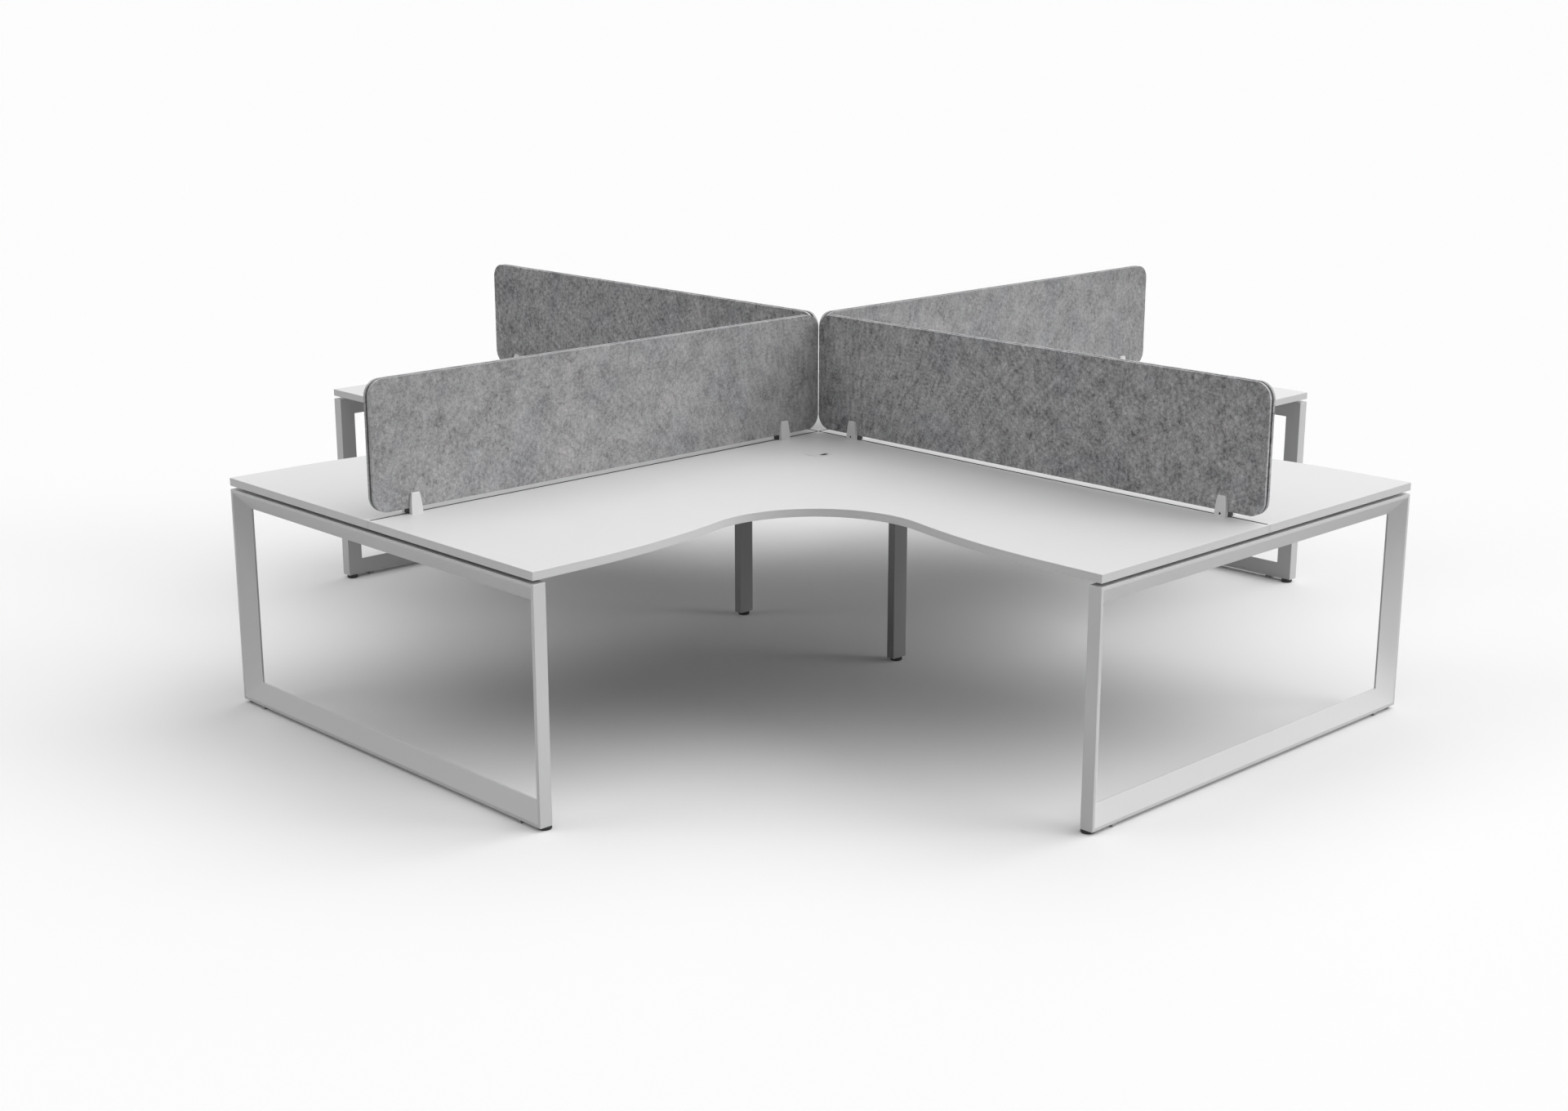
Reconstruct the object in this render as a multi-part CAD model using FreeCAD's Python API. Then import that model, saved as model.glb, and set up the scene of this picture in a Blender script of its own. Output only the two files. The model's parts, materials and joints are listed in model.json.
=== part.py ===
import FreeCAD, Part
import math
import os

# Four-place desk cluster. Four worktops meet at the centre, four screens stand on the seams
# between them, and a loop frame carries the outer end of each seam. All lengths are in
# millimetres. The origin lies on the floor under the centre, +Z is up and the seams run
# along X and Y. Each piece is made once for the arm that runs east, or for the worktop
# south-east of the centre, and is then turned about the centre in quarter turns.

# Overall sizes
top_height = 740.0              # floor to the surface of the worktops
arm_length = 1836.0             # centre to the outer face of an end frame
wing_depth = 773.0              # seam line to the straight part of a worktop's front edge

# Worktops and their edging
top_thickness = 25.0
seam_gap = 7.0                  # open joint between neighbouring worktops
inner_corner_radius = 5.0       # corner of each worktop at the centre
bay_radius = 335.0              # hollow front edge at the sitting place
bay_depth = 76.0                # how far the hollow cuts in behind the straight front edge
straight_edge = 186.0           # straight front edge beside an end frame
edging_thickness = 2.0
edging_round = 1.0              # rounded long edges of the edging
seam_plug_length = 6.0          # plug that closes the joint at its outer end

# End frames, welded from four mitred lengths of one folded tube
frame_depth = 42.0              # outer face to back face
frame_face = 60.0               # outer edge to inner edge, seen from outside
frame_lip = 10.0                # flat rim beside the outer edge
frame_back_edge = 6.0           # thin inner edge where the slope ends
frame_wall = 2.0
shadow_gap = 10.6               # top rail to the underside of the worktops

# Levelling feet and the nuts that they turn in
foot_height = 11.5              # floor to the underside of frames and legs
foot_radius = 20.0
foot_round = 3.0                # rounded lower rim
foot_gap = 0.3                  # pad to frame when the foot is turned right in
foot_travel = 12.0
foot_back_inset = 11.0          # back face of the frame to the middle of a foot
stud_radius = 4.0
stud_running_gap = 0.05
stud_spare = 2.0                # thread above the nut when the foot is turned right out
nut_flats = 13.0
nut_height = 6.5

# Glide pads under the bottom rails
glide_inset = 104.0             # end of the frame to the middle of the pad
glide_length = 20.0
glide_margin = 4.0              # pad to either face of the frame
glide_round = 4.0

# Beams under the seams
beam_width = 60.0
beam_height = 30.0
beam_wall = 3.0
beam_joint_gap = 1.0            # beam end to the side line of the crossing beams
plate_thickness = 4.0           # all plates and brackets
joint_plate_half = 100.0        # square plate under the crossing
end_plate_width = 140.0
end_plate_margin = 4.0          # above the inner edge of the top rail

# Centre legs under the beams that run east and west
leg_distance = 382.0            # centre to the middle of a leg
leg_along = 30.0
leg_across = 60.0
leg_wall = 2.0
leg_base = 4.0                  # closed lower end, which holds the foot
leg_flange = 35.0               # top plate beyond the leg, to each side

# Angle brackets between the top rails and the worktops
bracket_place = 450.0           # seam line to the middle of a bracket
bracket_width = 40.0
bracket_reach = 40.0
bracket_drop = 45.0             # below the top of the rail

# Bolts and wood screws
bolt_radius = 4.0
bolt_hole_gap = 0.3
bolt_tip = 6.0                  # past the last wall
bolt_edge = 15.0                # bolt to the edge of its plate
bolt_head_flats = 13.0
bolt_head_height = 5.3
end_bolt_shares = (0.3, 0.7)    # of the rail's face, down from its top
screw_radius = 2.25
screw_hole_gap = 0.15
screw_bite = 15.0               # into the worktop
screw_head_radius = 4.5
screw_head_height = 3.0
screw_inset = 12.0              # side of the beam to the row of screws
beam_screw_shares = (0.13, 0.5, 0.86)   # of the arm's length

# Screens: two felt boards on a core that stays back from their edges
screen_lift = 17.0              # worktop to the lower edge of the screen
screen_height = 393.0
screen_corner_radius = 50.0
screen_centre_gap = 1.0         # between the corners of neighbouring screens
screen_end_inset = 13.0         # screen to the outer face of the frame below
board_thickness = 9.0
core_thickness = 8.0
core_recess = 6.0

# Screen clips
clip_inner_place = 180.0        # centre to the inner clip
clip_outer_inset = 154.5        # outer clip to the outer face of the frame below
clip_height = 63.0
clip_foot_width = 40.0
clip_head_width = 28.0
clip_side_bulge = 1.5
clip_foot_thickness = 14.0
clip_head_thickness = 8.0
clip_round = 1.2
clip_screw_height = 10.5        # worktop to the middle of the clamping screw
clip_screw_radius = 2.0
clip_screw_gap = 0.2
clip_screw_bite = 7.0           # into the far half
clip_screw_head_radius = 3.6
clip_screw_head_height = 3.5
clip_screw_recess = 3.0         # head below the face of the clip
clip_socket_flats = 3.0
clip_socket_depth = 1.8
clip_stud_side_gap = 0.5        # stud to the worktops on both sides of the joint
clip_stud_hole_gap = 0.2
clip_stud_depth = 5.0           # into the block
clip_stud_tip = 4.0             # below the upper wall of the beam

# Cable outlets: a ring in the worktop and a cap that turns in it
grommet_place = 255.0           # from both seam lines
grommet_hole_radius = 40.0
grommet_hole_gap = 0.3
grommet_rim = 5.0               # flange beyond the hole
grommet_flange = 1.5            # flange above the worktop
grommet_wall = 2.0
grommet_length = 20.0           # sleeve below the worktop's surface
grommet_ledge = 3.0             # ledge that carries the cap
grommet_ledge_thickness = 2.0
cap_gap = 0.3
cap_thickness = 3.0
cap_slot_start = 18.0           # middle of the cap to the inner side of the slot
cap_slot_width = 32.0

overrun = 20.0                  # cutting shapes go this far past what they cut

# Heights and places that follow from the sizes above
top_underside = top_height - top_thickness
rail_top = top_underside - shadow_gap
rail_back = arm_length - frame_depth
beam_bottom = top_underside - beam_height
screen_half = board_thickness + core_thickness / 2
screen_start = screen_half + screen_centre_gap
screen_end = arm_length - screen_end_inset
screen_bottom = top_height + screen_lift
clip_places = (clip_inner_place, arm_length - clip_outer_inset)
clip_stud_radius = seam_gap / 2 - clip_stud_side_gap
screw_line = beam_width / 2 - screw_inset
foot_along = rail_back + foot_back_inset
foot_across = wing_depth - foot_radius

# The arms in quarter turns, and the worktop on the right of each arm seen from the centre
arms = ("east", "north", "west", "south")
quarters = ("south_east", "north_east", "north_west", "south_west")
sides = (-1, 1)
quarter_turn_degrees = 90
full_turn_degrees = 360
leg_turns = (0, 2)              # the arms that have a centre leg

origin = FreeCAD.Vector(0, 0, 0)
up = FreeCAD.Vector(0, 0, 1)


def point(x, y, z):
    return FreeCAD.Vector(x, y, z)


def box(x_low, x_high, y_low, y_high, z_low, z_high):
    corner = point(x_low, y_low, z_low)
    return Part.makeBox(x_high - x_low, y_high - y_low, z_high - z_low, corner)


def upright(radius, x, y, z_low, z_high):
    """Upright round bar, or the hole for one."""
    return Part.makeCylinder(radius, z_high - z_low, point(x, y, z_low), up)


def turned(shape, quarter_turns):
    """The same shape under another arm."""
    copy = shape.copy()
    copy.rotate(origin, up, quarter_turn_degrees * quarter_turns)
    return copy


def cut(shape, tools):
    """The shape less all the tools."""
    return shape.cut(Part.makeCompound(tools)) if tools else shape


def prism(outline, height):
    return Part.Face(outline).extrude(up * height)


def hexagon(flats, height):
    """Hexagonal bar that stands on the origin."""
    radius = flats / 2 / math.cos(math.pi / 6)
    corners = []
    for step in range(7):
        turn = step * math.pi / 3
        corners.append(point(radius * math.cos(turn), radius * math.sin(turn), 0))
    return prism(Part.makePolygon(corners), height)


def placed(shape, place, direction):
    """Carry a shape from the origin to its place, with its +Z along the direction."""
    shape.Placement = FreeCAD.Placement(place, FreeCAD.Rotation(up, direction))
    return shape


def bolt(place, direction, grip):
    """Hexagon bolt with its head seated at the place and its shank along the direction."""
    shank = Part.makeCylinder(bolt_radius, grip + bolt_tip)
    head = hexagon(bolt_head_flats, bolt_head_height)
    head.translate(up * -bolt_head_height)
    return placed(shank.fuse(head), place, direction)


def wood_screw(x, y, seat, tip):
    """Upright screw with its pan head below the seat."""
    shank = upright(screw_radius, x, y, seat, tip)
    head = upright(screw_head_radius, x, y, seat - screw_head_height, seat)
    return shank.fuse(head)


def save(name, shapes):
    """Write one node, with every solid of the shapes in it."""
    solids = [solid for shape in shapes for solid in shape.Solids]
    node = solids[0] if len(solids) == 1 else Part.makeCompound(solids)
    node.exportStep("parts/" + name + ".step")


def save_in_quarters(names, shapes):
    """Write the same pieces once for each quarter turn, each turn as its own node."""
    for turns, name in enumerate(names):
        save(name, [turned(shape, turns) for shape in shapes])


def save_group(name, shapes):
    """Write the pieces of all four arms as one node."""
    save(name, [turned(shape, turns) for turns in range(len(arms)) for shape in shapes])


def arc(start, centre, radius, end):
    """The shorter arc between two points of a circle."""
    towards_middle = (start - centre) + (end - centre)
    middle = centre + towards_middle.normalize() * radius
    return Part.Arc(start, middle, end).toShape()


def mirrored(place):
    """The same place on the other wing of the south-east worktop."""
    return point(-place.y, -place.x, place.z)


def worktop_outline(inset):
    """Outline of the south-east worktop at the height of its underside, moved in by the inset."""
    z = top_underside
    inner = seam_gap / 2 + inset
    outer = arm_length - inset
    front = wing_depth - inset
    corner_radius = inner_corner_radius - inset
    bay_middle = wing_depth - bay_depth + bay_radius
    swell_start = arm_length - straight_edge
    along = swell_start - bay_middle
    across = bay_radius - bay_depth
    # The swelling arc touches the straight edge and the hollow without a kink
    swell_radius = (along ** 2 + across ** 2 - bay_radius ** 2) / (2 * bay_depth)
    bay_centre = point(bay_middle, -bay_middle, z)
    swell_centre = point(swell_start, swell_radius - wing_depth, z)
    reach = (swell_radius - inset) / (swell_radius + bay_radius)
    meeting = swell_centre + (bay_centre - swell_centre) * reach

    corner_centre = point(inner + corner_radius, -inner - corner_radius, z)
    corner_end = point(inner + corner_radius, -inner, z)
    outer_inner = point(outer, -inner, z)
    outer_front = point(outer, -front, z)
    swell_end = point(swell_start, -front, z)
    edges = [
        Part.makeLine(corner_end, outer_inner),
        Part.makeLine(outer_inner, outer_front),
        Part.makeLine(outer_front, swell_end),
        arc(swell_end, swell_centre, swell_radius - inset, meeting),
        arc(meeting, bay_centre, bay_radius + inset, mirrored(meeting)),
        arc(mirrored(meeting), mirrored(swell_centre), swell_radius - inset, mirrored(swell_end)),
        Part.makeLine(mirrored(swell_end), mirrored(outer_front)),
        Part.makeLine(mirrored(outer_front), mirrored(outer_inner)),
        Part.makeLine(mirrored(outer_inner), mirrored(corner_end)),
        arc(mirrored(corner_end), corner_centre, corner_radius, corner_end),
    ]
    return Part.Wire(edges)


def worktop():
    """Board of the south-east worktop with its cable hole and pilot holes."""
    board = prism(worktop_outline(edging_thickness), top_thickness)
    hole = upright(grommet_hole_radius, grommet_place, -grommet_place,
                   top_underside - overrun, top_height + overrun)
    pilots = []
    for along, across in beam_screw_places() + [bracket_screw_place()]:
        for x, y in ((along, -across), (across, -along)):
            pilots.append(upright(screw_radius + screw_hole_gap, x, y,
                                  top_underside - overrun,
                                  top_underside + screw_bite + screw_hole_gap))
    return cut(board, [hole] + pilots)


def worktop_edging():
    """Strip of edging round the south-east worktop."""
    whole = prism(worktop_outline(0), top_thickness)
    rims = []
    for face in whole.Faces:
        if face.BoundBox.ZLength < edging_round:
            rims.extend(face.Edges)
    rounded = whole.makeFillet(edging_round, rims)
    return rounded.cut(prism(worktop_outline(edging_thickness), top_thickness))


def beam_screw_places():
    """Places of the worktop screws on one side of a beam, along and across the arm."""
    return [(share * arm_length, screw_line) for share in beam_screw_shares]


def bracket_screw_place():
    return (rail_back - bracket_reach + bolt_edge, bracket_place)


def seam_plug():
    return box(arm_length - seam_plug_length, arm_length, -seam_gap / 2, seam_gap / 2,
               top_underside, top_height)


def frame_section():
    """Section of the frame tube, as depths from the outer edge and from the outer face."""
    return [(0, 0), (frame_lip, 0), (frame_face, frame_depth - frame_back_edge),
            (frame_face, frame_depth), (0, frame_depth)]


def frame_hollow_section():
    """Section of the tube's hollow, one wall inside the outer section."""
    run = frame_face - frame_lip
    rise = frame_depth - frame_back_edge
    slope = math.hypot(run, rise)
    line_edge = frame_lip - frame_wall * rise / slope
    line_face = frame_wall * run / slope
    lip_end = line_edge + (frame_wall - line_face) * run / rise
    inner_edge = frame_face - frame_wall
    slope_end = line_face + (inner_edge - line_edge) * rise / run
    back = frame_depth - frame_wall
    return [(frame_wall, frame_wall), (lip_end, frame_wall), (inner_edge, slope_end),
            (inner_edge, back), (frame_wall, back)]


def frame_corner(corner, edge_depth, face_depth):
    """Point of the frame's corner at given depths from the outer edge and the outer face."""
    x = arm_length - face_depth
    y = wing_depth - edge_depth
    low = foot_height + edge_depth
    high = rail_top - edge_depth
    return (point(x, -y, low), point(x, y, low), point(x, y, high), point(x, -y, high))[corner]


def mitred_bar(section, corner):
    """Straight solid of a section from one corner of the frame to the next."""
    following = (corner + 1) % len(arms)
    start = [frame_corner(corner, *depths) for depths in section]
    end = [frame_corner(following, *depths) for depths in section]
    faces = [Part.Face(Part.makePolygon(loop + loop[:1])) for loop in (start, end)]
    for index in range(len(section)):
        ahead = (index + 1) % len(section)
        side = [start[index], start[ahead], end[ahead], end[index], start[index]]
        faces.append(Part.Face(Part.makePolygon(side)))
    solid = Part.Solid(Part.Shell(faces))
    if solid.Volume < 0:
        solid.reverse()
    return solid


def end_bolt_places():
    """Places of the bolts through an end plate, across the arm and up."""
    across = end_plate_width / 2 - bolt_edge
    return [(side * across, rail_top - share * frame_face)
            for side in sides for share in end_bolt_shares]


def bracket_bolt_places():
    return [(side * bracket_place, rail_top - frame_face / 2) for side in sides]


def end_frame():
    """The four tubes of the east frame, with holes for feet and bolts."""
    tubes = []
    for corner in range(len(arms)):
        hollow = mitred_bar(frame_hollow_section(), corner)
        tubes.append(mitred_bar(frame_section(), corner).cut(hollow))
    foot_holes = []
    for side in sides:
        foot_holes.append(upright(stud_radius + stud_running_gap, foot_along,
                                  side * foot_across, 0, foot_height + nut_height))
    bolt_holes = []
    for across, height in end_bolt_places() + bracket_bolt_places():
        start = point(rail_back - frame_wall, across, height)
        bolt_holes.append(Part.makeCylinder(bolt_radius + bolt_hole_gap, 2 * frame_wall + bolt_tip,
                                            start, point(1, 0, 0)))
    return [cut(tube, foot_holes + bolt_holes) for tube in tubes]


def foot(x, y, wall):
    """Levelling foot: a round pad with the stud moulded in, long enough for its travel."""
    pad_top = foot_height - foot_gap
    stud_top = foot_height + wall + nut_height + foot_travel + stud_spare
    round_middle = foot_round * (1 - math.sqrt(1 / 2))
    rim_centre = foot_radius - round_middle
    profile = Part.Wire([
        Part.makeLine(origin, point(foot_radius - foot_round, 0, 0)),
        Part.Arc(point(foot_radius - foot_round, 0, 0), point(rim_centre, 0, round_middle),
                 point(foot_radius, 0, foot_round)).toShape(),
        Part.makeLine(point(foot_radius, 0, foot_round), point(foot_radius, 0, pad_top)),
        Part.makeLine(point(foot_radius, 0, pad_top), point(0, 0, pad_top)),
        Part.makeLine(point(0, 0, pad_top), origin),
    ])
    pad = Part.Face(profile).revolve(origin, up, full_turn_degrees)
    pad.translate(point(x, y, 0))
    return pad.fuse(upright(stud_radius, x, y, pad_top, stud_top))


def foot_nut(x, y, wall):
    """Nut welded inside the tube above a foot."""
    nut = hexagon(nut_flats, nut_height)
    nut.translate(point(x, y, foot_height + wall))
    return nut.cut(upright(stud_radius + stud_running_gap, x, y, 0, top_height))


def glide_pads():
    """Two pads with round corners under the bottom rail of the east frame."""
    pads = []
    for side in sides:
        middle = side * (wing_depth - glide_inset)
        pad = box(rail_back + glide_margin, arm_length - glide_margin,
                  middle - glide_length / 2, middle + glide_length / 2, 0, foot_height)
        corners = [edge for edge in pad.Edges if edge.BoundBox.ZLength > foot_height / 2]
        pads.append(pad.makeFillet(glide_round, corners))
    return pads


def plate_bolt_places():
    """Bolts up through the plates under a beam: centre plate, then leg plate."""
    across = beam_width / 2 - bolt_edge
    leg_reach = leg_along / 2 + leg_flange - bolt_edge
    centre = [(joint_plate_half - bolt_edge, side * across) for side in sides]
    leg = [(leg_distance + end * leg_reach, side * across) for end in sides for side in sides]
    return centre, leg


def beam(has_leg):
    """Beam under the east seam, with its end plate welded on."""
    start = beam_width / 2 + beam_joint_gap
    end = rail_back - plate_thickness
    half = beam_width / 2
    tube = box(start, end, -half, half, beam_bottom, top_underside)
    hollow = box(start - overrun, end, beam_wall - half, half - beam_wall,
                 beam_bottom + beam_wall, top_underside - beam_wall)
    plate = box(end, rail_back, -end_plate_width / 2, end_plate_width / 2,
                rail_top - frame_face + end_plate_margin, top_underside)
    holes = []
    for across, height in end_bolt_places():
        holes.append(Part.makeCylinder(bolt_radius + bolt_hole_gap, plate_thickness + overrun,
                                       point(end - overrun / 2, across, height), point(1, 0, 0)))
    centre_bolts, leg_bolts = plate_bolt_places()
    for along, across in centre_bolts + (leg_bolts if has_leg else []):
        holes.append(upright(bolt_radius + bolt_hole_gap, along, across,
                             beam_bottom - overrun, beam_bottom + beam_wall + bolt_tip))
    for along, across in beam_screw_places():
        for side in sides:
            holes.append(upright(screw_radius + screw_hole_gap, along, side * across,
                                 beam_bottom - overrun, top_height))
    for along in clip_places:
        holes.append(upright(clip_stud_radius + clip_stud_hole_gap, along, 0,
                             top_underside - beam_wall - clip_stud_tip, top_height))
    return cut(tube.cut(hollow).fuse(plate), holes)


def joint_plate():
    """Square plate under the crossing of the four beams."""
    plate = box(-joint_plate_half, joint_plate_half, -joint_plate_half, joint_plate_half,
                beam_bottom - plate_thickness, beam_bottom)
    holes = []
    for along, across in plate_bolt_places()[0]:
        hole = upright(bolt_radius + bolt_hole_gap, along, across, 0, top_height)
        holes.extend(turned(hole, turns) for turns in range(len(arms)))
    return cut(plate, holes)


def centre_leg():
    """Leg under the east beam: tube, closed lower end and top plate."""
    plate_bottom = beam_bottom - plate_thickness
    half_along = leg_along / 2
    half_across = leg_across / 2
    flange = half_along + leg_flange
    tube = box(leg_distance - half_along, leg_distance + half_along, -half_across, half_across,
               foot_height, plate_bottom)
    hollow = box(leg_distance - half_along + leg_wall, leg_distance + half_along - leg_wall,
                 leg_wall - half_across, half_across - leg_wall,
                 foot_height + leg_base, plate_bottom)
    plate = box(leg_distance - flange, leg_distance + flange, -beam_width / 2, beam_width / 2,
                plate_bottom, beam_bottom)
    holes = [upright(stud_radius + stud_running_gap, leg_distance, 0, 0, foot_height + leg_base)]
    for along, across in plate_bolt_places()[1]:
        holes.append(upright(bolt_radius + bolt_hole_gap, along, across,
                             plate_bottom - overrun, top_height))
    return cut(tube.cut(hollow).fuse(plate), holes)


def rail_brackets():
    """Two angle brackets on the back of the east frame's top rail."""
    brackets = []
    screw_x = bracket_screw_place()[0]
    for across, height in bracket_bolt_places():
        low = across - bracket_width / 2
        high = across + bracket_width / 2
        upright_leg = box(rail_back - plate_thickness, rail_back, low, high,
                          rail_top - bracket_drop, top_underside)
        flat_leg = box(rail_back - bracket_reach, rail_back, low, high,
                       top_underside - plate_thickness, top_underside)
        bolt_hole = Part.makeCylinder(bolt_radius + bolt_hole_gap, plate_thickness + overrun,
                                      point(rail_back - plate_thickness - overrun / 2, across,
                                            height), point(1, 0, 0))
        screw_hole = upright(screw_radius + screw_hole_gap, screw_x, across,
                             top_underside - plate_thickness - overrun, top_height)
        brackets.append(cut(upright_leg.fuse(flat_leg), [bolt_hole, screw_hole]))
    return brackets


def frame_bolts():
    """All bolts of the east arm that don't belong to a centre leg."""
    bolts = []
    inward = rail_back - plate_thickness
    for across, height in end_bolt_places() + bracket_bolt_places():
        bolts.append(bolt(point(inward, across, height), point(1, 0, 0),
                          plate_thickness + frame_wall))
    for along, across in plate_bolt_places()[0]:
        bolts.append(bolt(point(along, across, beam_bottom - plate_thickness), up,
                          plate_thickness + beam_wall))
    return bolts


def leg_bolts():
    """The four bolts of the east leg."""
    return [bolt(point(along, across, beam_bottom - plate_thickness), up,
                 plate_thickness + beam_wall) for along, across in plate_bolt_places()[1]]


def beam_screws():
    """Long screws up through the east beam into both of its worktops."""
    return [wood_screw(along, side * across, beam_bottom, top_underside + screw_bite)
            for along, across in beam_screw_places() for side in sides]


def bracket_screws():
    along, across = bracket_screw_place()
    return [wood_screw(along, side * across, top_underside - plate_thickness,
                       top_underside + screw_bite) for side in sides]


def rounded_panel(recess, y_low, y_high):
    """Upright panel over the east seam with four round corners."""
    x_low = screen_start + recess
    x_high = screen_end - recess
    z_low = screen_bottom + recess
    z_high = screen_bottom + screen_height - recess
    panel = box(x_low, x_high, y_low, y_high, z_low, z_high)
    corners = [edge for edge in panel.Edges
               if edge.BoundBox.XLength < recess + screen_corner_radius
               and edge.BoundBox.ZLength < recess + screen_corner_radius]
    return panel.makeFillet(screen_corner_radius - recess, corners)


def screen_board(side):
    """Felt board on one side of the east screen."""
    inner = side * core_thickness / 2
    outer = side * screen_half
    return rounded_panel(0, min(inner, outer), max(inner, outer))


def screen_core():
    return rounded_panel(core_recess, -core_thickness / 2, core_thickness / 2)


def clip_face_at_screw():
    """Seam line to the outer face of a clip at the height of its screw."""
    taper = (clip_foot_thickness - clip_head_thickness) / clip_height
    return screen_half + clip_foot_thickness - taper * clip_screw_height


def across_bar(radius, along, y_low, y_high):
    """Round bar across the seam at the height of the clamping screws."""
    start = point(along, y_low, top_height + clip_screw_height)
    return Part.makeCylinder(radius, y_high - y_low, start, point(0, 1, 0))


def clip_half(along, side):
    """Tapered half of a screen clip. The half on the right of the arm holds the screw's head."""
    foot_half = clip_foot_width / 2
    head_half = clip_head_width / 2
    side_half = (foot_half + head_half) / 2 + clip_side_bulge
    bottom = top_height
    middle = top_height + clip_height / 2
    head = top_height + clip_height
    inner = side * screen_half
    feet = [point(along + end * foot_half, inner, bottom) for end in sides]
    waists = [point(along + end * side_half, inner, middle) for end in sides]
    heads = [point(along + end * head_half, inner, head) for end in sides]
    front = Part.Wire([
        Part.makeLine(feet[0], feet[1]),
        Part.Arc(feet[1], waists[1], heads[1]).toShape(),
        Part.makeLine(heads[1], heads[0]),
        Part.Arc(heads[0], waists[0], feet[0]).toShape(),
    ])
    blank = Part.Face(front).extrude(point(0, side * clip_foot_thickness, 0))
    start = along - clip_foot_width
    taper = Part.makePolygon([
        point(start, inner, bottom),
        point(start, inner + side * clip_foot_thickness, bottom),
        point(start, inner + side * clip_head_thickness, head),
        point(start, inner, head),
        point(start, inner, bottom),
    ])
    half = blank.common(Part.Face(taper).extrude(point(2 * clip_foot_width, 0, 0)))
    outer_face = max(half.Faces, key=lambda face: side * face.CenterOfMass.y)
    rims = [edge for edge in outer_face.Edges if edge.BoundBox.ZMax > bottom + clip_round]
    half = half.makeFillet(clip_round, rims)
    if side > 0:
        hole = across_bar(clip_screw_radius + clip_screw_gap, along, 0,
                          screen_half + clip_screw_bite + clip_screw_gap)
        return half.cut(hole)
    face = clip_face_at_screw()
    seat = face - clip_screw_recess - clip_screw_head_height
    hole = across_bar(clip_screw_radius + clip_screw_gap, along, -face, 0)
    recess = across_bar(clip_screw_head_radius + clip_screw_gap, along, -face - overrun, -seat)
    return cut(half, [hole, recess])


def clip_screw(along):
    """Clamping screw through both halves and the block, with a hexagon socket."""
    seat = clip_face_at_screw() - clip_screw_recess - clip_screw_head_height
    end = screen_half + clip_screw_bite
    shank = across_bar(clip_screw_radius, along, -seat, end)
    head = across_bar(clip_screw_head_radius, along, -seat - clip_screw_head_height, -seat)
    socket = hexagon(clip_socket_flats, clip_socket_depth)
    socket_place = point(along, -seat - clip_screw_head_height, top_height + clip_screw_height)
    return shank.fuse(head).cut(placed(socket, socket_place, point(0, 1, 0)))


def clip_block(along):
    """Block that carries the screen between the two halves of a clip."""
    half = clip_foot_width / 2
    block = box(along - half, along + half, -screen_half, screen_half, top_height, screen_bottom)
    screw_hole = across_bar(clip_screw_radius + clip_screw_gap, along, -screen_half - overrun,
                            screen_half + overrun)
    stud_hole = upright(clip_stud_radius + clip_stud_hole_gap, along, 0,
                        top_height - overrun, top_height + clip_stud_depth)
    return cut(block, [screw_hole, stud_hole])


def clip_stud(along):
    """Stud that ties a clip block to the beam through the open joint."""
    return upright(clip_stud_radius, along, 0, top_underside - beam_wall - clip_stud_tip,
                   top_height + clip_stud_depth)


def grommet_ring():
    """Ring and sleeve in the south-east worktop, with the ledge for its cap."""
    sleeve_outer = grommet_hole_radius - grommet_hole_gap
    sleeve_inner = sleeve_outer - grommet_wall
    surface = top_height + grommet_flange
    ledge_top = surface - cap_thickness - cap_gap
    ledge_bottom = ledge_top - grommet_ledge_thickness
    flange = upright(grommet_hole_radius + grommet_rim, 0, 0, top_height, surface)
    sleeve = upright(sleeve_outer, 0, 0, top_height - grommet_length, surface)
    seat = upright(sleeve_inner, 0, 0, ledge_top, surface + overrun)
    throat = upright(sleeve_inner - grommet_ledge, 0, 0, top_height - grommet_length - overrun,
                     surface + overrun)
    below = upright(sleeve_inner, 0, 0, top_height - grommet_length - overrun, ledge_bottom)
    ring = cut(flange.fuse(sleeve), [seat, throat, below])
    ring.translate(point(grommet_place, -grommet_place, 0))
    return ring


def grommet_cap():
    """Cap of the south-east outlet, with its cable slot towards the east."""
    radius = grommet_hole_radius - grommet_hole_gap - grommet_wall - cap_gap
    surface = top_height + grommet_flange
    disc = upright(radius, 0, 0, surface - cap_thickness, surface)
    slot = box(cap_slot_start, radius + overrun, -cap_slot_width / 2, cap_slot_width / 2,
               surface - cap_thickness - overrun, surface + overrun)
    cap = disc.cut(slot)
    cap.translate(point(grommet_place, -grommet_place, 0))
    return cap


os.makedirs("parts", exist_ok=True)

# Worktops
save_in_quarters(["worktop_" + quarter for quarter in quarters], [worktop()])
save_group("worktop_edging", [worktop_edging()])
save_group("seam_plugs", [seam_plug()])

# End frames with their feet
save_in_quarters(["end_frame_" + arm for arm in arms], end_frame())
save_group("glide_pads", glide_pads())
for turns, arm in enumerate(arms):
    for side in sides:
        neighbour = arms[(turns + side) % len(arms)]
        frame_foot = foot(foot_along, side * foot_across, frame_wall)
        save("foot_" + arm + "_" + neighbour, [turned(frame_foot, turns)])

# Beams, centre plate and centre legs
for turns, arm in enumerate(arms):
    has_leg = turns in leg_turns
    save("beam_" + arm, [turned(beam(has_leg), turns)])
    if has_leg:
        save("centre_leg_" + arm, [turned(centre_leg(), turns)])
        save("foot_centre_" + arm, [turned(foot(leg_distance, 0, leg_base), turns)])
save("joint_plate", [joint_plate()])
frame_nuts = [foot_nut(foot_along, side * foot_across, frame_wall) for side in sides]
leg_nut = foot_nut(leg_distance, 0, leg_base)
save("foot_nuts", [turned(nut, turns) for turns in range(len(arms)) for nut in frame_nuts]
     + [turned(leg_nut, turns) for turns in leg_turns])

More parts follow.
